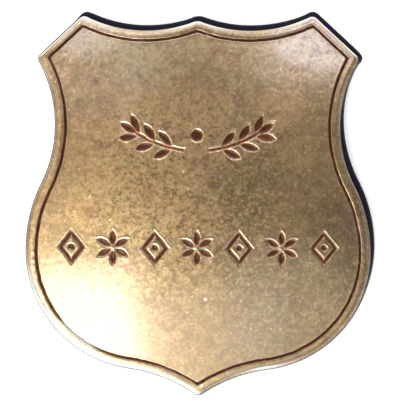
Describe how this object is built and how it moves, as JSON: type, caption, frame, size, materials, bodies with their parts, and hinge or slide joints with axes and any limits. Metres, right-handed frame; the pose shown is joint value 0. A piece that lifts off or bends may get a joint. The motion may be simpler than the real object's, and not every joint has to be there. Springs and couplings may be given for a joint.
{
  "type": "shield-shaped lapel badge",
  "caption": "Domed shield lapel badge of antiqued brass with a grooved rim, a struck ornament of leaves, lozenges and flowers, and a brooch pin on its hollow back.",
  "frame": {"origin": "the middle of the badge's outline, on the surface that it lies on face up", "axes": "+X to the right of the face, +Y from the bottom tip towards the top edge, +Z out of the face"},
  "size_m": [0.06, 0.0666, 0.006],
  "materials": {
    "antique_brass": "antiqued, rubbed back on the raised parts, dark in the grooves",
    "plated_pin": "dull nickel plate"
  },
  "bodies": {
    "root": {"shield": "antique_brass", "pin_clasp": "plated_pin"}
  },
  "joints": []
}
